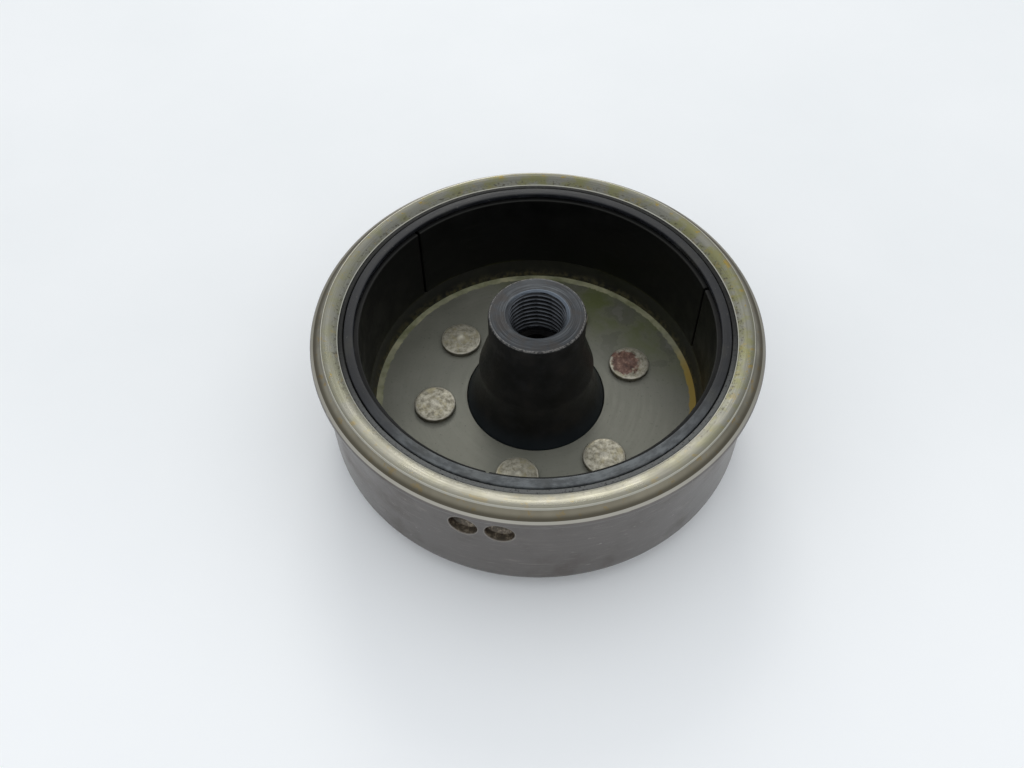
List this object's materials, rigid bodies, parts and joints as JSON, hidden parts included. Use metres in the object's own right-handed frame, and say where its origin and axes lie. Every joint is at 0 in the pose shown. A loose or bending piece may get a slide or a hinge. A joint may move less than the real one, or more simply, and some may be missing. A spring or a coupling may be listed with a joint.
{
  "type": "magneto flywheel",
  "caption": "Riveted steel flywheel drum lined with black arc magnets around a flared, tapered-bore hub with a threaded mouth.",
  "frame": {"origin": "on the axis, in the plane of the hub's back face", "axes": "+Z along the axis, out of the open side of the drum; +X and +Y across the drum"},
  "size_m": [0.1146, 0.1146, 0.0401],
  "materials": {
    "drum_steel": "turned grey steel with oil film, yellow-green stains and small scratches",
    "hub_black_oxide": "black oxide with a blue-grey sheen, turning rings on the end face",
    "rivet_steel": "dull silvery-tan forged heads, one with a brown rust patch",
    "magnet_coating": "satin black epoxy coating over ferrite",
    "seat_plastic": "black moulding, oily",
    "ring_coating": "scuffed grey-black moulding",
    "seal_resin": "black potting resin"
  },
  "bodies": {
    "root": {"rotor_cup": "drum_steel", "hub": "hub_black_oxide", "rivet_1": "rivet_steel", "rivet_2": "rivet_steel", "rivet_3": "rivet_steel", "rivet_4": "rivet_steel", "rivet_5": "rivet_steel", "rivet_6": "rivet_steel", "magnet_1": "magnet_coating", "magnet_2": "magnet_coating", "magnet_3": "magnet_coating", "seat_ring": "seat_plastic", "retaining_ring": "ring_coating", "seal_ring": "seal_resin"}
  },
  "joints": []
}
